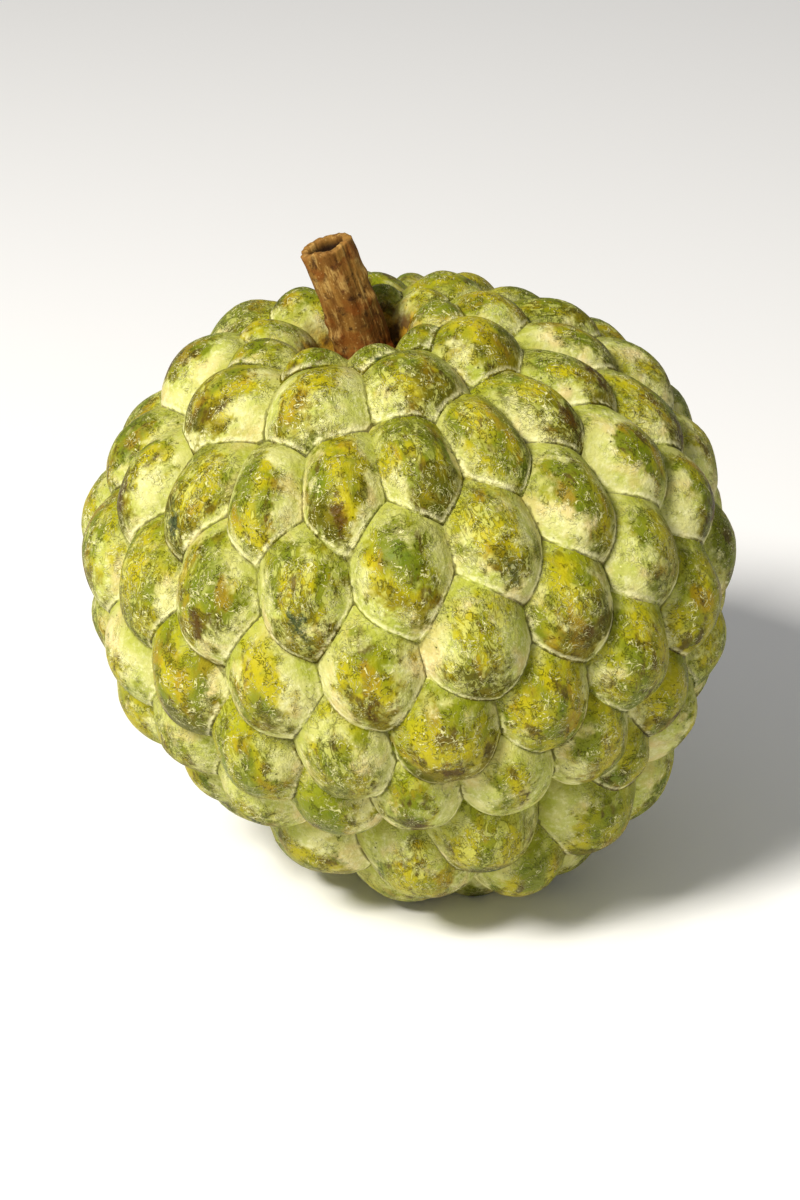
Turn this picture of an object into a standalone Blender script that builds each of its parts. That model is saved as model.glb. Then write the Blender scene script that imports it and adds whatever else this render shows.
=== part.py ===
"""A custard apple, also called a sugar apple, as picked: the fruit and the cut stalk that it hung from.

The fruit is one fleshy body. Its skin is made of areoles, the scale-like swellings that each grew from one
carpel of the flower. They follow one spiral that winds from the stalk to the blossom end, and each lies
over the ones below it like a roof tile. The stalk is a short woody tube, hollow at its cut end, that
stands in the fruit's stalk pit.
"""

import math
import random

import bmesh
import bpy
from mathutils import Matrix, Vector

MM = 0.001

# The fruit's own frame has its middle at the origin and its stalk along +Z. A polar angle is measured at
# the middle, from the stalk down. An azimuth of 0 faces -Y, and it grows towards +X.
SEAT_RADIUS = 34.2 * MM  # the round surface that the areoles stand on
PIT_DEPTH = 0.008  # the stalk pit, as a share of the radius
PIT_SPREAD = math.radians(15)
WAIST_SWELL = -0.028  # under 0, the fruit is higher than it is wide
SHOULDER_SWELL = 0.21  # a heart shape: fuller above the waist than below it
SKEW = 0.03  # the shoulder on -X and the lower side on +X grew fuller than the others
LEAN = math.radians(12)  # the fruit rests leaning towards -X
FLAT_DEPTH = 2.2 * MM  # how far the tips that it rests on are pressed flat

# The spiral. Each number is the polar angle, in degrees, at the end of one more whole turn.
AREOLES_PER_TURN = 18.54
TURN_ANGLES = (13.5, 20.5, 28, 44, 60, 74.5, 89.5, 105, 118.5)
FIRST_TURN, LAST_TURN = 0.5, 7.9
START_AZIMUTH = math.radians(-0.7)
CROWDED_ANGLE = math.radians(36)  # nearer to the stalk than this, only every other areole has room

# The blossom end is closed by a cap of areoles at the golden angle, as in a sunflower.
CAP_AREOLES = 24
CAP_EDGE = math.radians(124)
CAP_SPACING = 12.2 * MM
GOLDEN_ANGLE = math.pi * (3 - math.sqrt(5))

# One areole at full size: half its length, half its width and its height over the seat.
AREOLE_LENGTH = 10 * MM
AREOLE_WIDTH = 8.5 * MM
AREOLE_HEIGHT = 10 * MM
SHORT_LENGTH = 17 * MM  # half the length per radian of polar angle, for the short ones at the stalk
WIDTH_SHARE = 0.7  # half width over the spacing, so that neighbours press together
AREOLE_TILT = math.radians(18)  # lifts the tip that points away from the stalk
OUTLINE_POWER = 2.7  # 2 is an ellipse, more is a fuller, squarer outline
DOME_POWER = 2.1
TAPER = 0.14  # narrower at the tip
CUTS = 5  # faces along an areole's cube are one more than this
SKIN_TRIANGLES = 11600

# The stalk, from its foot in the socket to the cut end.
STALK_RADIUS = 3.3 * MM
STALK_FOOT_RADIUS = 4.2 * MM
STALK_END_RADIUS = 3.5 * MM
STALK_HEIGHT = 17.5 * MM  # over the floor of the pit
STALK_BEND = math.radians(8)  # leans on from the fruit's axis, towards -X
STALK_BENT_SHARE = 0.6  # of its height; above that it is straight
SOCKET_DEPTH = 6 * MM
SOCKET_GAP = 0.3 * MM
PITH_RADIUS = 2.2 * MM
PITH_DEPTH = 5 * MM
STALK_SIDES = 20
STALK_RINGS = 14
STALK_RIDGES = 5
RIDGE_HEIGHT = 0.18 * MM


def seat_radius(polar, azimuth=0):
    """The distance from the fruit's middle to the surface that carries the areoles."""
    pit = PIT_DEPTH * math.exp(-((polar / PIT_SPREAD) ** 2))
    waist = WAIST_SWELL * math.sin(polar) ** 2
    shoulder = SHOULDER_SWELL * math.cos(polar) * math.sin(polar) ** 2
    skew = SKEW * math.sin(2 * polar) * math.sin(azimuth)
    return SEAT_RADIUS * (1 - pit + waist + shoulder - skew)


def seat_point(polar, azimuth):
    """A place on the seat."""
    radius = seat_radius(polar, azimuth)
    across = radius * math.sin(polar)
    return Vector((across * math.sin(azimuth), -across * math.cos(azimuth), radius * math.cos(polar)))


def seat_frame(polar, azimuth):
    """A place on the seat and its axes: sideways, down towards the blossom end, and out."""
    step = 0.001
    place = seat_point(polar, azimuth)
    down = (seat_point(polar + step, azimuth) - seat_point(polar - step, azimuth)).normalized()
    side = (seat_point(polar, azimuth - step) - seat_point(polar, azimuth + step)).normalized()
    out = side.cross(down).normalized()
    return place, down.cross(out), down, out


def turn_angle(turn):
    """The polar angle after that many turns of the spiral."""
    whole = min(int(turn), len(TURN_ANGLES) - 2)
    start, end = TURN_ANGLES[whole], TURN_ANGLES[whole + 1]
    return math.radians(start + (end - start) * (turn - whole))


def spiral_areoles():
    """(polar angle, azimuth, half length, half width) of each areole along the spiral."""
    first = math.ceil(FIRST_TURN * AREOLES_PER_TURN)
    last = math.floor(LAST_TURN * AREOLES_PER_TURN)
    for number in range(first, last + 1):
        polar = turn_angle(number / AREOLES_PER_TURN)
        crowded = polar < CROWDED_ANGLE
        if crowded and number % 2:
            continue
        azimuth = START_AZIMUTH - number * 2 * math.pi / AREOLES_PER_TURN
        spacing = 2 * math.pi * seat_radius(polar) * math.sin(polar) / AREOLES_PER_TURN
        width = min(WIDTH_SHARE * spacing * (2 if crowded else 1), AREOLE_WIDTH)
        length = min(AREOLE_LENGTH, polar * SHORT_LENGTH)
        yield polar, azimuth, length, width


def cap_areoles():
    """The same for the areoles that close the blossom end, each with an equal share of the cap."""
    depth = 1 + math.cos(CAP_EDGE)
    for number in range(CAP_AREOLES):
        polar = math.acos(-1 + depth * (number + 0.5) / CAP_AREOLES)
        yield polar, number * GOLDEN_ANGLE, 0.86 * CAP_SPACING, WIDTH_SHARE * CAP_SPACING


def on_dome(corner):
    """A direction to a point on an areole of unit size: x across, y towards the tip, z out."""
    x, y, z = corner
    outline = (abs(x) ** OUTLINE_POWER + abs(y) ** OUTLINE_POWER) ** (1 / OUTLINE_POWER)
    size = (outline**DOME_POWER + abs(z) ** DOME_POWER) ** (1 / DOME_POWER)
    x, y, z = x / size, y / size, z / size
    return Vector((x * (1 - TAPER * y), y, z if z > 0 else 0.6 * z))


def new_object(name, shape):
    """Makes an object from a bmesh, in triangles that face outwards."""
    mesh = bpy.data.meshes.new(name)
    bmesh.ops.triangulate(shape, faces=shape.faces)
    bmesh.ops.recalc_face_normals(shape, faces=shape.faces)
    shape.to_mesh(mesh)
    shape.free()
    made = bpy.data.objects.new(name, mesh)
    bpy.context.scene.collection.objects.link(made)
    return made


def make_areole(number, polar, azimuth, length, width, chance):
    """One areole as a closed swelling, a little different from its neighbours, as on a grown fruit."""
    place, side, down, out = seat_frame(polar + chance.uniform(-0.012, 0.012), azimuth)
    height = AREOLE_HEIGHT * (0.55 + 0.45 * width / AREOLE_WIDTH) * chance.uniform(0.93, 1.07)
    length = length * chance.uniform(0.95, 1.05)
    width = width * chance.uniform(0.95, 1.05)
    tilt = AREOLE_TILT * chance.uniform(0.85, 1.15)
    axes = Matrix((side, down, out)).transposed() @ Matrix.Rotation(tilt, 3, "X")
    axes = axes @ Matrix.Rotation(chance.uniform(-0.08, 0.08), 3, "Z")
    shape = bmesh.new()
    bmesh.ops.create_cube(shape, size=2)
    bmesh.ops.subdivide_edges(shape, edges=shape.edges, cuts=CUTS, use_grid_fill=True)
    for vert in shape.verts:
        x, y, z = on_dome(vert.co.normalized())
        vert.co = place + axes @ Vector((x * width, y * length, z * height))
    return new_object(f"areole_{number:03d}", shape)


def make_core():
    """The flesh under the areoles, with the stalk pit in its top."""
    shape = bmesh.new()
    bmesh.ops.create_uvsphere(shape, u_segments=32, v_segments=24, radius=1)
    for vert in shape.verts:
        direction = vert.co.normalized()
        polar = math.acos(max(-1, min(1, direction.z)))
        vert.co = direction * seat_radius(polar, math.atan2(direction.x, -direction.y))
    return new_object("fruit", shape)


def evaluate(obj):
    """Applies an object's modifiers."""
    graph = bpy.context.evaluated_depsgraph_get()
    mesh = bpy.data.meshes.new_from_object(obj.evaluated_get(graph))
    obj.modifiers.clear()
    obj.data = mesh


def drop_scraps(obj):
    """Keeps only the largest of an object's loose bodies: a union can seal a pocket between areoles."""
    shape = bmesh.new()
    shape.from_mesh(obj.data)
    bodies, waiting = [], set(shape.faces)
    while waiting:
        body, edge_on = set(), [waiting.pop()]
        while edge_on:
            face = edge_on.pop()
            body.add(face)
            beside = {near for edge in face.edges for near in edge.link_faces} & waiting
            waiting -= beside
            edge_on.extend(beside)
        bodies.append(body)
    bodies.sort(key=len)
    bmesh.ops.delete(shape, geom=[face for body in bodies[:-1] for face in body], context="FACES")
    shape.to_mesh(obj.data)
    shape.free()


def fuse_areoles(fruit):
    """Joins the areoles and the flesh into one body, and thins its faces."""
    areoles = bpy.data.collections.new("areoles")
    bpy.context.scene.collection.children.link(areoles)
    chance = random.Random(11)
    for number, areole in enumerate([*spiral_areoles(), *cap_areoles()]):
        areoles.objects.link(make_areole(number, *areole, chance))
    union = fruit.modifiers.new("areoles", "BOOLEAN")
    union.operation = "UNION"
    union.operand_type = "COLLECTION"
    union.collection = areoles
    evaluate(fruit)
    for areole in list(areoles.objects):
        bpy.data.objects.remove(areole)
    bpy.data.collections.remove(areoles)
    drop_scraps(fruit)
    thin = fruit.modifiers.new("thin", "DECIMATE")
    fruit.data.calc_loop_triangles()
    thin.ratio = SKIN_TRIANGLES / len(fruit.data.loop_triangles)
    thin.use_collapse_triangulate = True
    evaluate(fruit)


def pit_floor():
    """The height of the pit's floor over the fruit's middle."""
    return seat_radius(0)


def stalk_centre(along):
    """The stalk's middle line: up the fruit's axis in the socket, then in a gentle bend towards -X."""
    bent = STALK_BENT_SHARE * STALK_HEIGHT
    rise = min(max(0, along), bent)
    straight = max(0, along - bent)
    aside = math.tan(STALK_BEND) * (rise**2 / (2 * bent) + straight)
    return Vector((-aside, 0, pit_floor() + along))


def make_stalk():
    """The woody stalk as stacked rings, bridged, with the pith's hollow sunk into its cut end."""
    shape = bmesh.new()
    foot, top = -SOCKET_DEPTH + SOCKET_GAP, STALK_HEIGHT
    rings = []
    for ring in range(STALK_RINGS + 1):
        along = foot + (top - foot) * ring / STALK_RINGS
        share = max(0, along) / STALK_HEIGHT
        radius = STALK_RADIUS + (STALK_FOOT_RADIUS - STALK_RADIUS) * (1 - share) ** 3
        radius += (STALK_END_RADIUS - STALK_RADIUS) * share**6
        rings.append(stalk_ring(shape, along, radius, RIDGE_HEIGHT * min(1, 4 * share)))
    rings.append(stalk_ring(shape, top, PITH_RADIUS, 0))
    rings.append(stalk_ring(shape, top - PITH_DEPTH, 0.8 * PITH_RADIUS, 0))
    for lower, upper in zip(rings, rings[1:]):
        bmesh.ops.bridge_loops(shape, edges=ring_edges(lower) + ring_edges(upper))
    shape.faces.new(rings[0])
    shape.faces.new(rings[-1])
    return new_object("stalk", shape)


def stalk_ring(shape, along, radius, ridge):
    """One ring of the stalk, square to its middle line, with the ridges of the bark."""
    step = 0.2 * MM
    ahead = (stalk_centre(along + step) - stalk_centre(along - step)).normalized()
    turn = Vector((0, 0, 1)).rotation_difference(ahead).to_matrix()
    verts = []
    for side in range(STALK_SIDES):
        angle = 2 * math.pi * side / STALK_SIDES
        reach = radius + ridge * math.cos(STALK_RIDGES * angle + 40 * along)
        offset = Vector((math.cos(angle), math.sin(angle), 0)) * reach
        verts.append(shape.verts.new(stalk_centre(along) + turn @ offset))
    for first, second in zip(verts, verts[1:] + verts[:1]):
        shape.edges.new((first, second))
    return verts


def ring_edges(ring):
    return [edge for edge in {e for v in ring for e in v.link_edges} if all(v in ring for v in edge.verts)]


def cut_socket(fruit):
    """The plain hole that the stalk stands in, a gap wider than the stalk's foot."""
    shape = bmesh.new()
    radius = STALK_FOOT_RADIUS + SOCKET_GAP
    bmesh.ops.create_cone(shape, cap_ends=True, segments=STALK_SIDES, radius1=radius, radius2=radius,
                          depth=4 * SOCKET_DEPTH)
    bmesh.ops.translate(shape, verts=shape.verts, vec=(0, 0, pit_floor() + SOCKET_DEPTH))
    cutter = new_object("socket", shape)
    cut = fruit.modifiers.new("socket", "BOOLEAN")
    cut.operation = "DIFFERENCE"
    cut.object = cutter
    evaluate(fruit)
    bpy.data.objects.remove(cutter)


def set_down(fruit, stalk):
    """Leans the fruit, presses its lowest tips flat and stands it at the origin, the middle of its box."""
    lean = Matrix.Rotation(-LEAN, 4, "Y")
    for piece in (fruit, stalk):
        piece.data.transform(lean)
    floor = min(vert.co.z for vert in fruit.data.vertices) + FLAT_DEPTH
    shape = bmesh.new()
    shape.from_mesh(fruit.data)
    cut = bmesh.ops.bisect_plane(shape, geom=shape.verts[:] + shape.edges[:] + shape.faces[:], dist=1e-7,
                                 plane_co=(0, 0, floor), plane_no=(0, 0, -1), clear_outer=True)
    rim = [item for item in cut["geom_cut"] if isinstance(item, bmesh.types.BMEdge)]
    bmesh.ops.contextual_create(shape, geom=rim)
    bmesh.ops.triangulate(shape, faces=[face for face in shape.faces if len(face.verts) > 3])
    shape.to_mesh(fruit.data)
    shape.free()
    points = [vert.co for piece in (fruit, stalk) for vert in piece.data.vertices]
    middle = [(min(p[i] for p in points) + max(p[i] for p in points)) / 2 for i in (0, 1)]
    for piece in (fruit, stalk):
        piece.data.transform(Matrix.Translation((-middle[0], -middle[1], -floor)))


def give_material(obj, name, colour, roughness):
    material = bpy.data.materials.new(name)
    material.use_nodes = True
    shader = material.node_tree.nodes["Principled BSDF"]
    shader.inputs["Base Color"].default_value = (*colour, 1)
    shader.inputs["Roughness"].default_value = roughness
    obj.data.materials.clear()
    obj.data.materials.append(material)


def main():
    for obj in list(bpy.data.objects):
        bpy.data.objects.remove(obj)
    fruit = make_core()
    fuse_areoles(fruit)
    cut_socket(fruit)
    stalk = make_stalk()
    set_down(fruit, stalk)
    give_material(fruit, "areole_skin", (0.42, 0.44, 0.10), 0.6)
    give_material(stalk, "stalk_bark", (0.26, 0.13, 0.04), 0.7)
    for piece in (fruit, stalk):
        piece.data.shade_smooth()
        piece.data.set_sharp_from_angle(angle=math.radians(40))


main()
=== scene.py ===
# %% [markdown]
# # A custard apple, dressed
# The solids give the fruit its place and size. This script builds the same fruit again with a much finer
# skin, and dresses it: the waxy bloom, the worn crowns, the dry stalk. Everything is in metres, +Z up, and
# the fruit rests on the plane z = 0.

import math
import random

import bmesh
import bpy
import numpy as np
from mathutils import Matrix, Vector, noise


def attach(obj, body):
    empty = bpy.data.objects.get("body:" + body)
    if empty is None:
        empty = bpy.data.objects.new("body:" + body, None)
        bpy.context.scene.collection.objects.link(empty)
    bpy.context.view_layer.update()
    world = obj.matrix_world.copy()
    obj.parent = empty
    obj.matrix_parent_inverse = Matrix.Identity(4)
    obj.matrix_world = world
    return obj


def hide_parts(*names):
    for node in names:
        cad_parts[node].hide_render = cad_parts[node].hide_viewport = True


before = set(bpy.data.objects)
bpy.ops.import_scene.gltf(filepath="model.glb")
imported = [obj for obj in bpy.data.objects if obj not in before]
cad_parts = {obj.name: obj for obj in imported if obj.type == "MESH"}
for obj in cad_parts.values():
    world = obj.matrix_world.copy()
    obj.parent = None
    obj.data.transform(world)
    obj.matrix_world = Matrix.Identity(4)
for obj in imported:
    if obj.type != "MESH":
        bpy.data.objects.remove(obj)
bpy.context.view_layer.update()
MM = 0.001
print("nodes:", sorted(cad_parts))

# %% [markdown]
# ## The seat
# The areoles, the scale-like swellings of the skin, stand on one smooth surface. It is round and a little
# heart-shaped: full shoulders, a waist that is drawn in slightly, a pit at the stalk, and a little askew,
# with one shoulder and the opposite lower side fuller. A formula for its radius is enough, because every
# areole only needs to know its place on it and which way is out. The polar angle is measured from the
# stalk down, and an azimuth of 0 faces -Y.

# %% The surface that carries the areoles
SEAT_RADIUS = 34.2 * MM
PIT_DEPTH = 0.008
PIT_SPREAD = math.radians(15)
WAIST_SWELL = -0.028
SHOULDER_SWELL = 0.21
SKEW = 0.03
LEAN = math.radians(12)
FLAT_DEPTH = 2.2 * MM


def seat_radius(polar, azimuth=0):
    pit = PIT_DEPTH * math.exp(-((polar / PIT_SPREAD) ** 2))
    waist = WAIST_SWELL * math.sin(polar) ** 2
    shoulder = SHOULDER_SWELL * math.cos(polar) * math.sin(polar) ** 2
    skew = SKEW * math.sin(2 * polar) * math.sin(azimuth)
    return SEAT_RADIUS * (1 - pit + waist + shoulder - skew)


def seat_point(polar, azimuth):
    radius = seat_radius(polar, azimuth)
    across = radius * math.sin(polar)
    return Vector((across * math.sin(azimuth), -across * math.cos(azimuth), radius * math.cos(polar)))


def seat_frame(polar, azimuth):
    """A place on the seat and its axes: sideways, down towards the blossom end, and out."""
    step = 0.001
    down = (seat_point(polar + step, azimuth) - seat_point(polar - step, azimuth)).normalized()
    side = (seat_point(polar, azimuth - step) - seat_point(polar, azimuth + step)).normalized()
    out = side.cross(down).normalized()
    return seat_point(polar, azimuth), down.cross(out), down, out


print(f"the seat is {2000 * seat_radius(math.pi / 2):.1f} mm across at the waist")

# %% [markdown]
# ## The spiral
# Each areole grew from one carpel of the flower, and carpels stand in one spiral. So one number, counted
# along the spiral, gives an areole's azimuth and its height. Near the stalk there is only room for every
# other one, and the areoles are shorter. The blossom end is closed by the golden angle, as in a sunflower.

# %% The places of the areoles
AREOLES_PER_TURN = 18.54
TURN_ANGLES = (13.5, 20.5, 28, 44, 60, 74.5, 89.5, 105, 118.5)
FIRST_TURN, LAST_TURN = 0.5, 7.9
START_AZIMUTH = math.radians(-0.7)
CROWDED_ANGLE = math.radians(36)
CAP_AREOLES = 24
CAP_EDGE = math.radians(124)
CAP_SPACING = 12.2 * MM
CAP_LENGTH_SHARE = 0.86
GOLDEN_ANGLE = math.pi * (3 - math.sqrt(5))
AREOLE_LENGTH = 10 * MM
AREOLE_WIDTH = 8.5 * MM
SHORT_LENGTH = 17 * MM
WIDTH_SHARE = 0.7


def turn_angle(turn):
    """The polar angle after that many turns of the spiral."""
    whole = min(int(turn), len(TURN_ANGLES) - 2)
    start, end = TURN_ANGLES[whole], TURN_ANGLES[whole + 1]
    return math.radians(start + (end - start) * (turn - whole))


def spiral_areoles():
    """(polar angle, azimuth, half length, half width) of each areole along the spiral."""
    first = math.ceil(FIRST_TURN * AREOLES_PER_TURN)
    last = math.floor(LAST_TURN * AREOLES_PER_TURN)
    for number in range(first, last + 1):
        polar = turn_angle(number / AREOLES_PER_TURN)
        crowded = polar < CROWDED_ANGLE
        if crowded and number % 2:
            continue
        azimuth = START_AZIMUTH - number * 2 * math.pi / AREOLES_PER_TURN
        spacing = 2 * math.pi * seat_radius(polar) * math.sin(polar) / AREOLES_PER_TURN
        width = min(WIDTH_SHARE * spacing * (2 if crowded else 1), AREOLE_WIDTH)
        length = min(AREOLE_LENGTH, polar * SHORT_LENGTH)
        yield polar, azimuth, length, width


def cap_areoles():
    """The same for the areoles that close the blossom end."""
    depth = 1 + math.cos(CAP_EDGE)
    for number in range(CAP_AREOLES):
        polar = math.acos(-1 + depth * (number + 0.5) / CAP_AREOLES)
        yield polar, number * GOLDEN_ANGLE, CAP_LENGTH_SHARE * CAP_SPACING, WIDTH_SHARE * CAP_SPACING


areoles = [*spiral_areoles(), *cap_areoles()]
print(len(areoles), "areoles")

# %% [markdown]
# ## One areole
# An areole is a swelling with a full, rounded outline, a little narrower at its free tip, which lies over
# the next ones. A cube with an evenly divided surface, pushed out to a rounded form, makes a mesh with no
# poles, so it stays smooth where the light rakes over it. Narrow ones are lower: part of the height is
# fixed, and the rest is led by the width. Each is turned, tilted and sized a little differently, from one
# seeded draw.

# %% The form of an areole
OUTLINE_POWER = 2.7
DOME_POWER = 2.1
TAPER = 0.14
ROOT_DEPTH = 0.6
AREOLE_HEIGHT = 10 * MM
FIXED_HEIGHT, LED_HEIGHT = 0.55, 0.45
AREOLE_TILT = math.radians(18)
POLAR_DRAW, TURN_DRAW = (-0.012, 0.012), (-0.08, 0.08)
HEIGHT_DRAW, SIZE_DRAW, TILT_DRAW = (0.93, 1.07), (0.95, 1.05), (0.85, 1.15)
CUTS = 16
DRAW = random.Random(11)


def on_dome(corner):
    """A direction to a point on an areole of unit size: x across, y towards the tip, z out."""
    x, y, z = corner
    outline = (abs(x) ** OUTLINE_POWER + abs(y) ** OUTLINE_POWER) ** (1 / OUTLINE_POWER)
    size = (outline**DOME_POWER + abs(z) ** DOME_POWER) ** (1 / DOME_POWER)
    x, y, z = x / size, y / size, z / size
    return Vector((x * (1 - TAPER * y), y, z if z > 0 else ROOT_DEPTH * z))


def areole_place(polar, azimuth, length, width):
    """Where an areole stands, and the matrix that takes the unit form to its size and turn."""
    place, side, down, out = seat_frame(polar + DRAW.uniform(*POLAR_DRAW), azimuth)
    height = AREOLE_HEIGHT * (FIXED_HEIGHT + LED_HEIGHT * width / AREOLE_WIDTH)
    height = height * DRAW.uniform(*HEIGHT_DRAW)
    length = length * DRAW.uniform(*SIZE_DRAW)
    width = width * DRAW.uniform(*SIZE_DRAW)
    tilt = AREOLE_TILT * DRAW.uniform(*TILT_DRAW)
    turn = Matrix((side, down, out)).transposed() @ Matrix.Rotation(tilt, 3, "X")
    turn = turn @ Matrix.Rotation(DRAW.uniform(*TURN_DRAW), 3, "Z")
    return place, turn @ Matrix.Diagonal((width, length, height))


places = [areole_place(*areole) for areole in areoles]
print("one areole is", f"{2 * AREOLE_WIDTH / MM:.0f} mm wide at most")

# %% [markdown]
# ## The bodies to join
# Every areole is a closed mesh of its own at first, and so is the flesh under them: a ball whose points
# are moved onto the seat.

# %% The areoles and the flesh as meshes
def mesh_object(name, shape):
    """Makes an object from a bmesh, in triangles."""
    bmesh.ops.triangulate(shape, faces=shape.faces)
    mesh = bpy.data.meshes.new(name)
    shape.to_mesh(mesh)
    shape.free()
    made = bpy.data.objects.new(name, mesh)
    bpy.context.scene.collection.objects.link(made)
    return made


def make_areole(place, matrix):
    shape = bmesh.new()
    bmesh.ops.create_cube(shape, size=2)
    bmesh.ops.subdivide_edges(shape, edges=shape.edges, cuts=CUTS, use_grid_fill=True)
    for vert in shape.verts:
        vert.co = place + matrix @ on_dome(vert.co.normalized())
    return mesh_object("areole", shape)


def make_core():
    """The flesh under the areoles."""
    shape = bmesh.new()
    bmesh.ops.create_uvsphere(shape, u_segments=64, v_segments=48, radius=1)
    for vert in shape.verts:
        direction = vert.co.normalized()
        azimuth = math.atan2(direction.x, -direction.y)
        vert.co = direction * seat_radius(math.acos(max(-1, min(1, direction.z))), azimuth)
    return mesh_object("core", shape)


bodies = [make_core()] + [make_areole(*place) for place in places]
print(len(bodies), "closed bodies, of", len(bodies[-1].data.polygons), "triangles each after the first")

# %% [markdown]
# ## Growing them together
# The fruit is one body, so the areoles are joined by Boolean unions. Joining them in pairs, then the pairs
# in pairs, keeps each union small. The manifold solver is fast, but it wants closed meshes with no
# many-sided faces, so each union is cut into triangles again.

# %% One skin
def join(first, second):
    """The union of two closed objects, left in the first."""
    union = first.modifiers.new("union", "BOOLEAN")
    union.operation = "UNION"
    union.solver = "MANIFOLD"
    union.object = second
    graph = bpy.context.evaluated_depsgraph_get()
    shape = bmesh.new()
    shape.from_object(first, graph)
    bmesh.ops.triangulate(shape, faces=shape.faces)
    first.modifiers.clear()
    shape.to_mesh(first.data)
    shape.free()
    bpy.data.objects.remove(second)
    return first


while len(bodies) > 1:
    pairs = zip(bodies[::2], bodies[1::2])
    left_over = bodies[len(bodies) - len(bodies) % 2:]
    bodies = [join(first, second) for first, second in pairs] + left_over
fruit = bodies[0]
fruit.name = "fruit_skin"
print("the joined skin has", len(fruit.data.polygons), "triangles")

# %% [markdown]
# ## What the finish needs to know
# The bloom wears off the crowns and stays in the grooves, so the finish has to know where on its areole a
# point lies. The areole's own formula answers that backwards: it gives the size that a unit areole would
# need to reach a point. The smallest answer names the areole that the point is on, and the second
# smallest says how near the next one is, which is how near the groove is.

# %% Each face's areole, its place on it, and the nearness of the groove
REACH = 18 * MM
GROOVE_SCALE = 7 * MM
matrices = np.array([matrix for place, matrix in places])
inverses = np.linalg.inv(matrices)
centres = np.array([place for place, matrix in places])


def unit_place(points, number):
    """Points in one areole's own unit space, its taper and its shallow root undone."""
    local = (points - centres[number]) @ inverses[number].T
    local[:, 0] /= 1 - TAPER * np.clip(local[:, 1], -3, 3)
    local[:, 2] /= np.where(local[:, 2] > 0, 1, ROOT_DEPTH)
    return local


def unit_size(local):
    outline = np.abs(local[:, 0]) ** OUTLINE_POWER + np.abs(local[:, 1]) ** OUTLINE_POWER
    return (outline ** (DOME_POWER / OUTLINE_POWER) + np.abs(local[:, 2]) ** DOME_POWER) ** (1 / DOME_POWER)


def nearest_areoles(points):
    """For each point: its areole, and the unit sizes of that and of the next nearest."""
    owner = np.zeros(len(points), int)
    best = np.full(len(points), 9.0)
    second = np.full(len(points), 9.0)
    for number, centre in enumerate(centres):
        near = np.flatnonzero(((points - centre) ** 2).sum(axis=1) < REACH**2)
        size = unit_size(unit_place(points[near], number))
        closer = size < best[near]
        second[near] = np.where(closer, best[near], np.minimum(second[near], size))
        owner[near[closer]] = number
        best[near] = np.minimum(best[near], size)
    return owner, second - 1


def read(collection, name, width, kind=np.float32):
    """A column of Blender's mesh data as an array."""
    values = np.zeros(len(collection) * width, kind)
    collection.foreach_get(name, values)
    return values.reshape(-1, width) if width > 1 else values


def write(mesh, name, kind, domain, values):
    """Stores an array on a mesh, under a name that a material can read."""
    made = mesh.attributes.new(name, kind, domain)
    column = "vector" if kind == "FLOAT_VECTOR" else "value"
    made.data.foreach_set(column, np.ravel(values).astype(np.float32))


def form_at(points, owner):
    """Each point in the unit space of the areole that it is on."""
    form = np.zeros((len(points), 3))
    for number in range(len(places)):
        own = owner == number
        form[own] = unit_place(points[own], number)
    return form


print("an areole is looked for within", round(REACH / MM), "mm")

# %% [markdown]
# A corner of a triangle takes its areole from the triangle's middle, so that no triangle is shared between
# two areoles. Each areole also gets three numbers of its own, between 0 and 1, that tell it from the rest.

# %% Storing it on the skin
mesh = fruit.data
points = read(mesh.vertices, "co", 3).astype(float)
corners = read(mesh.loops, "vertex_index", 1, np.int32)
owner = nearest_areoles(points[corners].reshape(-1, 3, 3).mean(axis=1))[0]
owner = np.repeat(owner, 3)
own_numbers = np.random.default_rng(5).random((len(places), 3))
vertex_owner, vertex_gap = nearest_areoles(points)
to_groove = vertex_gap * GROOVE_SCALE
write(mesh, "form", "FLOAT_VECTOR", "CORNER", form_at(points[corners], owner))
write(mesh, "chance", "FLOAT_VECTOR", "CORNER", own_numbers[owner])
write(mesh, "groove", "FLOAT", "POINT", to_groove)
print("areoles that show:", len(set(owner.tolist())))

# %% [markdown]
# ## The relief of the skin
# A real areole is a blunt pyramid more than a dome: its flanks are flatter, and its fullest spot lies
# below the middle. The skin over it is a little lumpy as well. Both are small moves of the skin along its
# own normals, so the fruit keeps its form. They fade in the grooves, where two areoles meet, and there a
# fine crease is pressed in.

# %% Flatter flanks, a lumpy skin and a crease
SUNK_FLANK = 0.7 * MM
RAISED_SHARE = 0.35
FULL_SPOT = 0.15
SPOT_WIDTH, SPOT_LENGTH = 0.48, 0.52
FADE = 1.2 * MM
CREASE_DEPTH, CREASE_WIDTH = 0.3 * MM, 0.8 * MM
LUMPS = ((7 * MM, 0.3 * MM), (2.4 * MM, 0.06 * MM))

across, along = form_at(points, vertex_owner).T[:2]
fullness = np.exp(-((across / SPOT_WIDTH) ** 2) - ((along - FULL_SPOT) / SPOT_LENGTH) ** 2)
rise = RAISED_SHARE * SUNK_FLANK - SUNK_FLANK * (1 - fullness)
for spacing, depth in LUMPS:
    rise += depth * np.array([noise.noise(Vector(point) / spacing) for point in points])
inside = 1 - np.exp(-to_groove / FADE)
crease = CREASE_DEPTH * np.exp(-((to_groove / CREASE_WIDTH) ** 2))
normals = read(mesh.vertices, "normal", 3)
points += normals * (rise * inside - crease)[:, None]
mesh.vertices.foreach_set("co", np.ravel(points).astype(np.float32))
print(f"the relief runs from {rise.min() / MM:.2f} to {rise.max() / MM:.2f} mm")

# %% [markdown]
# ## Setting the fruit down
# The fruit leans, and the lowest tips are pressed flat by its weight. The flat spot lies at z = 0 and the
# middle of the fruit's box at x = y = 0, as on the solid fruit. The grooves are sharp folds, so the light
# breaks there: edges past the sharp angle aren't smoothed over.

# %% The lean and the flat spot
SHARP_ANGLE = math.radians(42)

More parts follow.
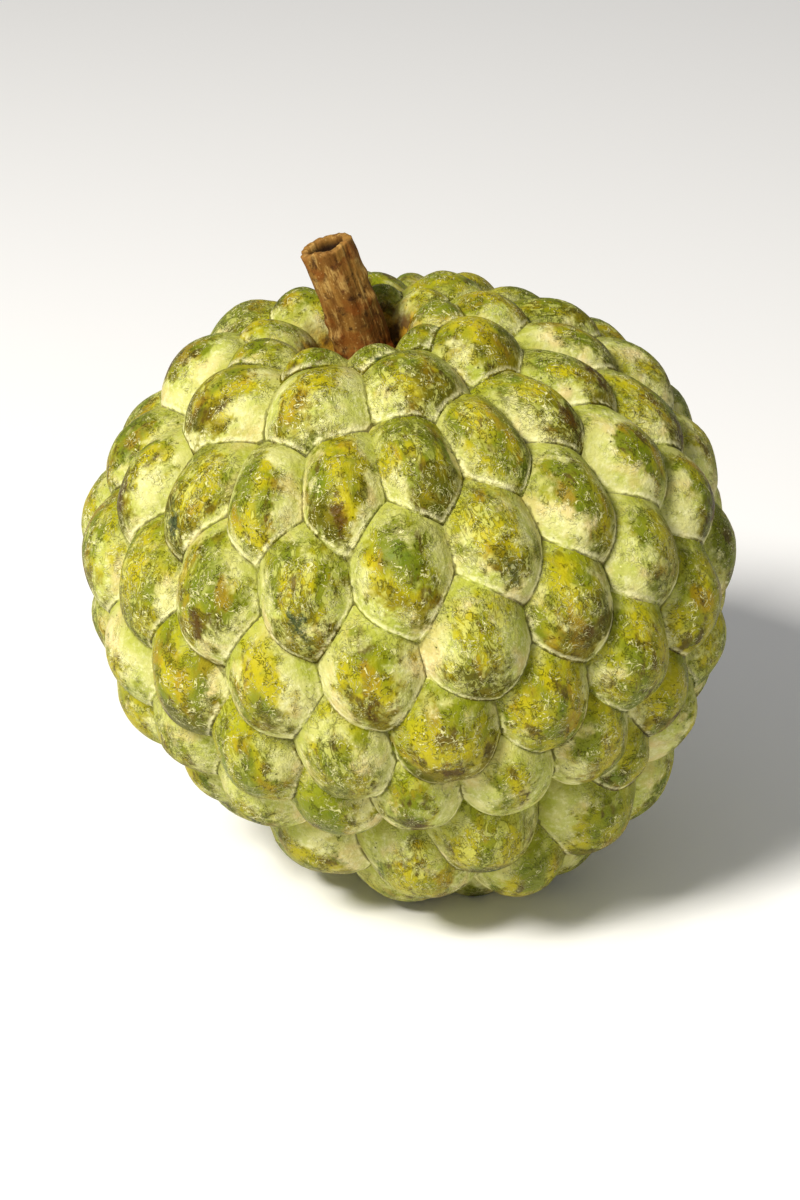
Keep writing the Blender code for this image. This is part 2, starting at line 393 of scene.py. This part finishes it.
mesh.transform(Matrix.Rotation(-LEAN, 4, "Y"))
points = read(mesh.vertices, "co", 3).astype(float)
low, high = points.min(axis=0), points.max(axis=0)
TO_REST = Vector((-(low[0] + high[0]) / 2, -(low[1] + high[1]) / 2, -low[2] - FLAT_DEPTH))
mesh.transform(Matrix.Translation(TO_REST))
shape = bmesh.new()
shape.from_mesh(mesh)
everything = shape.verts[:] + shape.edges[:] + shape.faces[:]
cut = bmesh.ops.bisect_plane(shape, geom=everything, dist=1e-7, plane_co=(0, 0, 0), plane_no=(0, 0, -1),
                             clear_outer=True)
rim = [item for item in cut["geom_cut"] if isinstance(item, bmesh.types.BMEdge)]
bmesh.ops.contextual_create(shape, geom=rim)
bmesh.ops.triangulate(shape, faces=[face for face in shape.faces if len(face.verts) > 3])
shape.to_mesh(mesh)
shape.free()
mesh.shade_smooth()
mesh.set_sharp_from_angle(angle=SHARP_ANGLE)
print("the fruit's box is", [round(size * 1000, 1) for size in fruit.dimensions], "mm")

# %% [markdown]
# ## The stalk
# The stalk is dry wood with bark, cut off short. Its profile goes from the foot up the outside, over the
# rim and down into the hollow where the pith was. It is spun round later on, while the stalk is still
# straight, and the middle line says how it is bent then.

# %% The line and the profile of the stalk
STALK_RADIUS, STALK_FOOT_RADIUS, STALK_END_RADIUS = 3.3 * MM, 4.2 * MM, 3.5 * MM
STALK_HEIGHT = 17.5 * MM
STALK_BEND = math.radians(8)
BENT_HEIGHT = 0.6 * STALK_HEIGHT
FOOT = -5.7 * MM
PITH_RADIUS, PITH_DEPTH = 2.35 * MM, 5 * MM
PITH_NARROWING = 0.4
PITH_START, PITH_POINT = 0.27 * MM, 0.5 * MM
RIM_ROUNDNESS = 0.35
RIM_STEPS, PITH_ROWS = 7, 16
ROW = 0.2 * MM


def stalk_centre(along):
    """The middle line: up the fruit's axis in the socket, then in a gentle bend towards -X."""
    rise = min(max(0, along), BENT_HEIGHT)
    straight = max(0, along - BENT_HEIGHT)
    aside = math.tan(STALK_BEND) * (rise**2 / (2 * BENT_HEIGHT) + straight)
    return Vector((-aside, 0, seat_radius(0) + along))


def wall_radius(along):
    share = max(0, along) / STALK_HEIGHT
    flare = (STALK_FOOT_RADIUS - STALK_RADIUS) * (1 - share) ** 3
    return STALK_RADIUS + flare + (STALK_END_RADIUS - STALK_RADIUS) * share**6


def stalk_profile():
    """(radius, height) from the middle of the foot to the bottom of the hollow."""
    yield 0, FOOT
    yield 0.6 * STALK_FOOT_RADIUS, FOOT
    for row in range(int((STALK_HEIGHT - FOOT) / ROW) - 1):
        yield wall_radius(FOOT + ROW * row), FOOT + ROW * row
    middle = (STALK_END_RADIUS + PITH_RADIUS) / 2
    half = (STALK_END_RADIUS - PITH_RADIUS) / 2
    for turn in range(RIM_STEPS + 1):
        angle = math.pi * turn / RIM_STEPS
        yield middle + half * math.cos(angle), STALK_HEIGHT + RIM_ROUNDNESS * half * (math.sin(angle) - 1)
    for row in range(1, PITH_ROWS + 1):
        radius = PITH_RADIUS * (1 - PITH_NARROWING * row / PITH_ROWS)
        yield radius, STALK_HEIGHT - PITH_START - PITH_DEPTH * row / PITH_ROWS
    yield 0, STALK_HEIGHT - PITH_DEPTH - PITH_POINT


print("the profile of the stalk has", len(list(stalk_profile())), "points")

# %% [markdown]
# ## The bark's relief
# Dry bark has ridges and fibres along it, old bumps where leaves or buds were, and a knobbly collar at the
# foot with a narrow waist over it. Noise that is looked up round the stalk closes on itself, so it has no
# seam.

# %% How far the bark stands out
RIDGES, RIDGE_HEIGHT, RIDGE_TWIST = 5, 0.18 * MM, 40
FIBRE_FINENESS, FIBRE_LENGTH, FIBRE_HEIGHT = 3.5, 5 * MM, 0.2 * MM
HAIR_FINENESS, HAIR_LENGTH, HAIR_HEIGHT = 9, 1.8 * MM, 0.1 * MM
LUMP_FINENESS, LUMP_LENGTH = 2.2, 1.6 * MM
BUMP_WIDTH, BUMP_LENGTH = 0.75 * MM, 0.7 * MM
COLLAR_PLACE, COLLAR_LENGTH = 1.0 * MM, 1.1 * MM
COLLAR_MM, COLLAR_LUMPS_MM = 0.35, 0.5
WAIST_PLACE, WAIST_LENGTH, WAIST_DEPTH = 2.9 * MM, 0.5 * MM, 0.22 * MM
BUMPS = [(DRAW.uniform(0, 2 * math.pi), DRAW.uniform(2, 15) * MM, DRAW.uniform(0.25, 0.5) * MM)
         for bump in range(9)]


def wall_noise(angle, fineness, *place):
    """Noise round the stalk: the fineness says how quickly it changes on the way round."""
    return noise.noise(Vector((math.cos(angle), math.sin(angle), 0)) * fineness + Vector(place))


def band(along, place, length):
    """1 at a place along the stalk, falling off softly on both sides."""
    return math.exp(-(((along - place) / length) ** 2))


def wall_relief(angle, along):
    """How far the bark stands out at a place on the wall."""
    over_foot = min(1, max(0, 4 * along / STALK_HEIGHT))
    ridge = RIDGE_HEIGHT * math.cos(RIDGES * angle + RIDGE_TWIST * along) * over_foot
    fibre = wall_noise(angle, FIBRE_FINENESS, 0, 0, along / FIBRE_LENGTH)
    hair = wall_noise(angle, HAIR_FINENESS, 3, 0, along / HAIR_LENGTH)
    relief = ridge + FIBRE_HEIGHT * fibre + HAIR_HEIGHT * hair
    for bump_angle, bump_along, height in BUMPS:
        turn = math.remainder(angle - bump_angle, 2 * math.pi) * STALK_RADIUS
        relief += height * math.exp(-((turn / BUMP_WIDTH) ** 2) - ((along - bump_along) / BUMP_LENGTH) ** 2)
    lumps = wall_noise(angle, LUMP_FINENESS, 0, 7, along / LUMP_LENGTH)
    collar = band(along, COLLAR_PLACE, COLLAR_LENGTH) * (COLLAR_MM + COLLAR_LUMPS_MM * lumps) * MM
    return relief + collar - WAIST_DEPTH * band(along, WAIST_PLACE, WAIST_LENGTH)


print(len(BUMPS), "bumps on the bark")

# %% [markdown]
# ## Spinning and bending the stalk
# The profile is spun round, and then each point goes to its place on the real stalk: out by the relief,
# ragged near the cut, which isn't quite square, and across the bent middle line. The foot, which is hidden
# in the fruit, stays smooth.

# %% The stalk in its place
ROUND_STEPS = 144
SKIN_DEPTH = 1.1 * MM
RELIEF_FADE, SMOOTH_SHARE = 5 * MM, 0.9
RAGGED_LENGTH, RAGGED_HEIGHT, RAGGED_WIDTH = 1.5 * MM, 0.35 * MM, 0.25 * MM


def stalk_point(straight):
    """A point of the spun profile to its place on the real stalk."""
    radius, along = math.hypot(straight.x, straight.y), straight.z
    angle = math.atan2(straight.y, straight.x)
    outer = min(1, max(0, (radius - PITH_RADIUS) / SKIN_DEPTH))
    seen = min(1, max(0, (along - FOOT) / RELIEF_FADE - SMOOTH_SHARE))
    radius += outer * seen * wall_relief(angle, along)
    near_end = max(0, 1 - (STALK_HEIGHT - along) / RAGGED_LENGTH)
    ragged = noise.noise(Vector((math.cos(angle), math.sin(angle), 5)) * 1.7)
    ragged += 0.5 * noise.noise(Vector((math.cos(angle), math.sin(angle), 2)) * 5)
    along += near_end * RAGGED_HEIGHT * (ragged + 0.5 * noise.noise(straight / (0.8 * MM)))
    wavy = noise.noise(Vector((math.cos(angle), math.sin(angle), 9)) * 2.5)
    radius += near_end * RAGGED_WIDTH * wavy
    step = 0.2 * MM
    ahead = (stalk_centre(along + step) - stalk_centre(along - step)).normalized()
    turn = Vector((0, 0, 1)).rotation_difference(ahead).to_matrix()
    return stalk_centre(along) + turn @ Vector((radius * math.cos(angle), radius * math.sin(angle), 0))


shape = bmesh.new()
line = [shape.verts.new((radius, 0, height)) for radius, height in stalk_profile()]
edges = [shape.edges.new(pair) for pair in zip(line, line[1:])]
bmesh.ops.spin(shape, geom=line + edges, axis=(0, 0, 1), cent=(0, 0, 0), angle=2 * math.pi,
               steps=ROUND_STEPS, use_merge=True)
bmesh.ops.remove_doubles(shape, verts=shape.verts, dist=1e-6)
bmesh.ops.recalc_face_normals(shape, faces=shape.faces)
stalk = mesh_object("stalk_bark", shape)
unbent = read(stalk.data.vertices, "co", 3).astype(float)
write(stalk.data, "straight", "FLOAT_VECTOR", "POINT", unbent / MM)
set_down = Matrix.Translation(TO_REST) @ Matrix.Rotation(-LEAN, 4, "Y")
for vert in stalk.data.vertices:
    vert.co = set_down @ stalk_point(vert.co)
stalk.data.shade_smooth()
print("the stalk has", len(stalk.data.polygons), "triangles")

# %% [markdown]
# ## Materials
# One small helper adds a node, sets its options and fills its inputs with values or with other nodes'
# outputs. Colours are written as sRGB hex and turned to linear values. Patterns are measured in
# millimetres of the real fruit.

# %% A helper for nodes
def linear(code):
    """An sRGB colour in hex, as the linear values that shaders use."""
    parts = [int(code[start:start + 2], 16) / 255 for start in (1, 3, 5)]
    return (*(part / 12.92 if part <= 0.04045 else ((part + 0.055) / 1.055) ** 2.4 for part in parts), 1)


def node(tree, kind, inputs=None, **settings):
    """Adds a node, fills the inputs given by number or name, and returns its outputs that are in use."""
    made = tree.nodes.new(kind)
    for name, value in settings.items():
        setattr(made, name, value)
    shown = [socket for socket in made.inputs if socket.enabled]
    for key, value in (inputs or {}).items():
        socket = shown[key] if isinstance(key, int) else made.inputs[key]
        if isinstance(value, bpy.types.NodeSocket):
            tree.links.new(value, socket)
        else:
            socket.default_value = value
    return [socket for socket in made.outputs if socket.enabled]


def new_material(name):
    made = bpy.data.materials.new(name)
    made.use_nodes = True
    return made, made.node_tree, made.node_tree.nodes["Principled BSDF"]


MATH, MIX, NOISE, RANGE = "ShaderNodeMath", "ShaderNodeMix", "ShaderNodeTexNoise", "ShaderNodeMapRange"
VECTOR, VORONOI, ATTRIBUTE = "ShaderNodeVectorMath", "ShaderNodeTexVoronoi", "ShaderNodeAttribute"
PARTS = "ShaderNodeSeparateXYZ"
print("bare green skin in linear values:", [round(part, 3) for part in linear("#6c7502")])

# %% [markdown]
# ## The skin: where things are
# Two measures steer most of the finish. The crown is where an areole's bloom is worn thin: round a spot
# below its middle, with a ragged edge, and more on some areoles than on others. The groove is the distance
# to the next areole. Each areole shifts the patterns by its own numbers, because they grew apart from each
# other, and some patterns are streaked along the areole, as its skin stretched that way.

# %% Measures on the skin
TO_MM = (1000, 1000, 1000)
OWN_SHIFT = (300, 300, 300)
STREAK = (8.0, 4.6, 8.0)

skin, tree, shader = new_material("waxy skin")
form = node(tree, ATTRIBUTE, attribute_name="form")[1]
chance = node(tree, ATTRIBUTE, attribute_name="chance")[1]
groove = node(tree, ATTRIBUTE, attribute_name="groove")[2]
chances = node(tree, PARTS, {0: chance})
spot = node(tree, PARTS, {0: form})
where = node(tree, "ShaderNodeTexCoord")[3]
where = node(tree, VECTOR, {0: where, 1: TO_MM}, operation="MULTIPLY")[0]
offset = node(tree, VECTOR, {0: chance, 1: OWN_SHIFT}, operation="MULTIPLY")[0]
own = node(tree, VECTOR, {0: where, 1: offset}, operation="ADD")[0]
streaked = node(tree, VECTOR, {0: form, 1: STREAK}, operation="MULTIPLY")[0]
streaked = node(tree, VECTOR, {0: streaked, 1: offset}, operation="ADD")[0]


def grain(size, detail=2.0, roughness=0.55, distortion=0.0, vector=own):
    """Noise whose features are that many millimetres wide, mostly between 0.3 and 0.7."""
    inputs = {"Vector": vector, "Scale": 1 / size, "Detail": detail, "Roughness": roughness,
              "Distortion": distortion}
    return node(tree, NOISE, inputs)[0]


def ramp(value, low, high):
    """0 up to low, 1 from high on, smooth between them. With low over high it falls instead."""
    ends = {1: low, 2: high, 3: 0.0, 4: 1.0} if low < high else {1: high, 2: low, 3: 1.0, 4: 0.0}
    return node(tree, RANGE, {0: value, **ends}, interpolation_type="SMOOTHSTEP")[0]


def both(first, second, operation="MULTIPLY"):
    return node(tree, MATH, {0: first, 1: second}, operation=operation)[0]


def layer(under, over, mask):
    """One colour over another where the mask is."""
    under, over = (linear(colour) if isinstance(colour, str) else colour for colour in (under, over))
    return node(tree, MIX, {0: mask, 1: under, 2: over}, data_type="RGBA")[0]


print("measures of the skin:", len(tree.nodes), "nodes")

# %% [markdown]
# The distance from the middle of the crown is taken in the areole's own unit space, so it is round on a
# round areole and long on a long one. Noise makes its edge ragged.

# %% The worn crown
CROWN_MIDDLE, CROWN_STRETCH = (0.0, 0.28, 0.8), (1.1, 0.9, 0.4)


def form_distance(middle, stretch):
    """The distance from a place on the areole, in its own unit space, stretched by its axes."""
    away = node(tree, VECTOR, {0: form, 1: middle}, operation="SUBTRACT")[0]
    away = node(tree, VECTOR, {0: away, 1: stretch}, operation="MULTIPLY")[0]
    return node(tree, VECTOR, {0: away}, operation="LENGTH")[0]


wobble = both(both(grain(4.5, 3), 1.8), both(grain(1.2, 5, 0.7), 0.8), "ADD")
from_crown = both(form_distance(CROWN_MIDDLE, CROWN_STRETCH), wobble, "ADD")
from_crown = both(from_crown, both(chances[0], 0.45), "SUBTRACT")
worn = ramp(from_crown, 1.92, 1.56)
print("the worn crown's middle lies", CROWN_MIDDLE[1], "of the way to the tip")

# %% [markdown]
# ## The skin: its colours
# The colours are laid over each other as on the real fruit, from the bottom up. First comes the bloom over
# green flesh, cream to green with a tan blush, and over it the bare crown, olive to yellow with ochre,
# green and brown patches. On some crowns shade is painted towards the tip, as a darker brown.

# %% Bloom and bare crown
bloom = layer("#ccc98a", "#b2b65e", ramp(grain(6.0), 0.36, 0.64))
bloom = layer(bloom, "#d6be8c", both(ramp(grain(5.0, vector=where), 0.5, 0.68), 0.6))
bloom = layer(bloom, "#97a228", both(ramp(grain(4.0, 3, vector=streaked), 0.5, 0.7), 0.55))
bloom = layer(bloom, "#e2e0b6", both(ramp(grain(0.8, 4, 0.7), 0.46, 0.68), 0.5))
crown = layer("#6c7502", "#aaa002", ramp(grain(5.0, vector=streaked), 0.4, 0.6))
crown = layer(crown, "#967002", both(ramp(grain(3.6, 4, vector=streaked), 0.54, 0.66), 0.6))
crown = layer(crown, "#4a6604", both(ramp(grain(4.2, 3, vector=where), 0.52, 0.68), 0.55))
crown = layer(crown, "#472f02", both(ramp(grain(2.2, 5, 0.62, vector=streaked), 0.55, 0.65), 0.8))
colour = layer(bloom, crown, both(worn, 0.94))
# Painted shade: on some crowns, a darker brown towards the tip.
tip_shade = both(ramp(both(spot[1], both(grain(3.0, 5), 1.8), "ADD"), 1.2, 1.5), ramp(chances[1], 0.0, 0.5))
colour = layer(colour, "#4b3a04", both(both(tip_shade, worn), 0.6))
print("after the crown:", len(tree.nodes), "nodes")

# %% [markdown]
# What is left of the bloom on the crown is torn into flakes, with dark cracks between them and pale
# threads where it was scratched, which are partly painted highlights on the broken wax. A thin winding line
# is where a noise crosses its middle value.

# %% Flakes, cracks and threads
def winding(value, wide, thin):
    """A line where a noise crosses its middle value, fading from thin to wide."""
    off = node(tree, MATH, {0: both(value, 0.5, "SUBTRACT")}, operation="ABSOLUTE")[0]
    return ramp(off, wide, thin)


torn = grain(1.3, 5, 0.7, 1.2, streaked)
veil = both(ramp(torn, 0.49, 0.55), ramp(both(grain(5.0, 3), both(chances[2], 0.35), "ADD"), 0.6, 0.78))
veil = both(veil, ramp(from_crown, 2.1, 1.7))
colour = layer(colour, "#c4c674", both(veil, 0.5))
cracks = both(winding(grain(1.1, 2, 0.6, 1.8), 0.04, 0.015), ramp(grain(1.5, 2), 0.52, 0.58))
cracks = both(cracks, ramp(from_crown, 2.0, 1.65))
colour = layer(colour, "#4c4a08", both(cracks, 0.6))
# Pale threads of scratched wax, partly painted highlights along the broken bloom.
threads_and_glints = both(winding(grain(1.5, 1.5, 0.5, 2.4), 0.04, 0.012), ramp(grain(2.0, vector=where), 0.45, 0.53))
threads_and_glints = both(threads_and_glints, ramp(from_crown, 2.2, 1.8))
colour = layer(colour, "#e2dfa6", both(threads_and_glints, 0.7))
print("after the threads:", len(tree.nodes), "nodes")

# %% [markdown]
# Pores show as dark specks on the crown and as pale dots everywhere. Each cell of a Voronoi pattern holds
# one spot at most, and the cell's own draw says which kind. Some tips are bruised, brown or dark green.

# %% Specks, dots and bruised tips
TIP_MIDDLE, TIP_STRETCH = (0.0, 0.6, 0.6), (1.6, 1.3, 0.6)

speck_cells = node(tree, VORONOI, {"Vector": own, "Scale": 0.8})
speck_draw = node(tree, PARTS, {0: speck_cells[1]})
specks = both(ramp(speck_cells[0], 0.13, 0.08), ramp(speck_draw[0], 0.7, 0.75))
specks = both(specks, ramp(from_crown, 2.3, 1.9))
colour = layer(colour, "#3f430c", both(specks, 0.7))
dots = both(ramp(speck_cells[0], 0.11, 0.06), ramp(speck_draw[0], 0.25, 0.2))
colour = layer(colour, "#e8e4b6", both(dots, 0.6))
from_tip = form_distance(TIP_MIDDLE, TIP_STRETCH)
bruise = ramp(both(from_tip, both(grain(1.2, 5, 0.65), 1.1), "ADD"), 0.9, 0.66)
bruise = both(bruise, ramp(chances[1], 0.45, 0.7))
bruise_colour = layer("#4f3408", "#2a4230", ramp(chances[2], 0.72, 0.8))
colour = layer(colour, bruise_colour, both(bruise, 0.8))
print("after the bruises:", len(tree.nodes), "nodes")

# %% [markdown]
# The edges differ round an areole. At the upper end, where it comes out from under the ones above, shade
# is painted in near the groove as a darker olive green. Along the lower edge runs a pale lip, which is a
# painted highlight, with a thin dark line of painted shade in the groove beside it. Near the stalk the pit
# is stained brown.

# %% Edges, grooves and the pit
# Painted shade: a darker olive green at the upper end, near the groove under the areoles above.
groove_shade = both(ramp(groove, 2.4 * MM, 0.2 * MM), ramp(spot[1], 0.35, -0.3))
colour = layer(colour, "#8e9214", both(groove_shade, 0.5))
# Painted highlight: a pale lip along the lower edge, just off the groove.
lower = ramp(spot[1], -0.1, 0.5)
lip_highlight = both(both(ramp(groove, 0.6 * MM, 0.2 * MM), ramp(groove, 0.08 * MM, 0.2 * MM)), lower)
lip_highlight = both(lip_highlight, ramp(grain(1.2, 3), 0.34, 0.54))
colour = layer(colour, "#ece7b8", both(lip_highlight, 0.6))
# Painted shade: a thin dark line in the groove itself, where the two areoles meet.
line = both(ramp(groove, 0.16 * MM, 0.03 * MM), ramp(grain(2.0, 3), 0.34, 0.54))
line = both(line, ramp(spot[1], -0.6, 0.2))
colour = layer(colour, "#3a3504", both(line, 0.7))
foot_place = tuple((set_down @ stalk_centre(0)) / MM)
to_pit = node(tree, VECTOR, {0: where, 1: foot_place}, operation="DISTANCE")[0]
stain = ramp(both(to_pit, both(grain(2.5, 4, vector=where), 9.0), "ADD"), 15.5, 11.5)
stain_colour = layer("#a87c06", "#552608", ramp(grain(1.8, 3, vector=where), 0.42, 0.58))
colour = layer(colour, stain_colour, both(stain, 0.85))
print("after the pit:", len(tree.nodes), "nodes")

# %% [markdown]
# ## The skin: gloss and fine relief
# Bloom is wax powder and scatters light. Where it is rubbed off, the skin under it has a soft gloss. The
# torn bloom and the threads stand proud of the bare skin by about a tenth of a millimetre.

# %% Gloss and relief of the skin
bare = both(worn, both(1.0, veil, "SUBTRACT"))
roughness = node(tree, RANGE, {0: bare, 3: 0.66, 4: 0.4})[0]
height = both(both(grain(0.5, 3), 0.5), both(veil, 0.4), "ADD")
height = both(height, both(threads_and_glints, 0.5), "ADD")
height = both(height, both(both(cracks, specks, "ADD"), 0.5), "SUBTRACT")
height = both(height, both(grain(1.8, 3), 1.2), "ADD")
relief = node(tree, "ShaderNodeBump", {"Strength": 1.0, "Distance": 0.26 * MM, "Height": height})[0]
tree.links.new(colour, shader.inputs["Base Color"])
tree.links.new(roughness, shader.inputs["Roughness"])
tree.links.new(relief, shader.inputs["Normal"])
shader.inputs["Specular IOR Level"].default_value = 0.15
fruit.data.materials.append(skin)
print("skin material:", len(tree.nodes), "nodes")

# %% [markdown]
# ## The bark
# Some patterns on the stalk are drawn out along it, like its fibres, so its finish reads the straight place
# of each point, from before the stalk was bent. Shade is painted into the hollow, near black, and the foot
# is stained reddish brown.

# %% The bark's material
FIBRE_STRETCH = (1.0, 1.0, 0.22)

bark, tree, shader = new_material("dry bark")
straight = node(tree, ATTRIBUTE, attribute_name="straight")[1]
drawn_out = node(tree, VECTOR, {0: straight, 1: FIBRE_STRETCH}, operation="MULTIPLY")[0]
part = node(tree, PARTS, {0: straight})
wood = layer("#8e6a30", "#6a4718", ramp(grain(2.2, 4, vector=drawn_out), 0.4, 0.6))
wood = layer(wood, "#b8985a", both(ramp(grain(0.9, 4, 0.65, vector=drawn_out), 0.5, 0.64), 0.75))
wood = layer(wood, "#351c05", both(ramp(grain(1.6, 5, 0.6, vector=straight), 0.52, 0.66), 0.85))
wood = layer(wood, "#7c4610", both(ramp(grain(2.8, 3, vector=straight), 0.5, 0.64), 0.6))
dotted = node(tree, VORONOI, {"Vector": straight, "Scale": 1.3})[0]
wood = layer(wood, "#c8aa70", both(ramp(dotted, 0.2, 0.1), 0.3))
foot = ramp(both(part[2], both(grain(1.4, 3, vector=straight), 6.0), "ADD"), 8.5, 4.5)
foot_colour = layer("#8c4c10", "#421f06", ramp(grain(0.9, 4, vector=straight), 0.46, 0.6))
wood = layer(wood, foot_colour, both(foot, 0.75))
# Painted shade: the hollow where the pith was, darkened to near black.
to_axis = both(both(part[0], 2.0, "POWER"), both(part[1], 2.0, "POWER"), "ADD")
hollow = both(ramp(to_axis, 7.2, 5.5), ramp(part[2], 17.3, 16.2))
wood = layer(wood, "#1c0f04", both(hollow, 0.92))
rim = both(ramp(part[2], 16.7, 17.2), ramp(grain(0.7, 4, vector=straight), 0.35, 0.6))
wood = layer(wood, "#a27c42", both(rim, 0.4))
height = both(grain(0.45, 4, vector=drawn_out), both(grain(0.3, 2, vector=straight), 0.4), "ADD")
relief = node(tree, "ShaderNodeBump", {"Strength": 0.9, "Distance": 0.2 * MM, "Height": height})[0]
tree.links.new(wood, shader.inputs["Base Color"])
tree.links.new(relief, shader.inputs["Normal"])
shader.inputs["Roughness"].default_value = 0.75
shader.inputs["Specular IOR Level"].default_value = 0.3
stalk.data.materials.append(bark)
print("bark material:", len(tree.nodes), "nodes")

# %% [markdown]
# ## Joining the frame
# Both pieces rest on the one body and take the places of the solid fruit and the solid stalk.

# %% Places in the frame
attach(fruit, "root")
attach(stalk, "root")
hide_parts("fruit")
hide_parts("stalk")

# %% [markdown]
# ## Camera and light
# A long lens looks down on the fruit from the front. It aims at the middle of the seat, a little to the
# left and a little low.

# %% The camera
CAMERA_DISTANCE = 385 * MM
CAMERA_ELEVATION = math.radians(26.5)
AIM_LEFT, AIM_LOW = 2.85 * MM, 0.82 * MM

scene = bpy.context.scene
look = Vector((0, math.cos(CAMERA_ELEVATION), -math.sin(CAMERA_ELEVATION)))
right = Vector((1, 0, 0))
target = TO_REST - right * AIM_LEFT - right.cross(look) * AIM_LOW
lens = bpy.data.cameras.new("camera")
lens.lens = 85
lens.sensor_width = 36
lens.clip_start = 0.01
camera = bpy.data.objects.new("camera", lens)
camera.location = target - look * CAMERA_DISTANCE
camera.rotation_euler = look.to_track_quat("-Z", "Y").to_euler()
scene.collection.objects.link(camera)
scene.camera = camera
print("camera at", [round(value, 3) for value in camera.location])

# %% [markdown]
# The fruit rests on pale paper that reaches far past it, so its edge doesn't show.

# %% The paper under it
FLOOR_SIZE = 6

shape = bmesh.new()
bmesh.ops.create_grid(shape, x_segments=1, y_segments=1, size=FLOOR_SIZE)
floor = mesh_object("floor", shape)
paper, tree, shader = new_material("pale paper")
shader.inputs["Base Color"].default_value = linear("#fafafa")
shader.inputs["Roughness"].default_value = 0.9
floor.data.materials.append(paper)
print("the paper is", 2 * FLOOR_SIZE, "m wide")

# %% [markdown]
# The light is soft: a lamp a little over twice as wide as the fruit over the left shoulder, a faint one
# from the right, and a dim white surrounding. Both lamps are a little warm. The view adds some contrast.

# %% The light
LIGHT_COLOUR = (1.0, 0.965, 0.9)
LIGHT_AIM = Vector((0, 0, 0.04))
LIGHTS = (("key", (-0.42, -0.5, 0.72), 0.2, 10.0), ("fill", (0.7, -0.45, 0.35), 0.7, 0.1))
for name, place, size, power in LIGHTS:
    light = bpy.data.lights.new(name, "AREA")
    light.energy = power
    light.size = size
    light.color = LIGHT_COLOUR
    lamp = bpy.data.objects.new(name, light)
    lamp.location = place
    lamp.rotation_euler = (LIGHT_AIM - Vector(place)).to_track_quat("-Z", "Y").to_euler()
    scene.collection.objects.link(lamp)
world = bpy.data.worlds.new("white studio")
world.use_nodes = True
world.node_tree.nodes["Background"].inputs["Color"].default_value = (1, 1, 1, 1)
world.node_tree.nodes["Background"].inputs["Strength"].default_value = 0.3
scene.world = world
scene.view_settings.view_transform = "Standard"
scene.view_settings.look = "Medium High Contrast"
print("lights:", [name for name, place, size, power in LIGHTS])
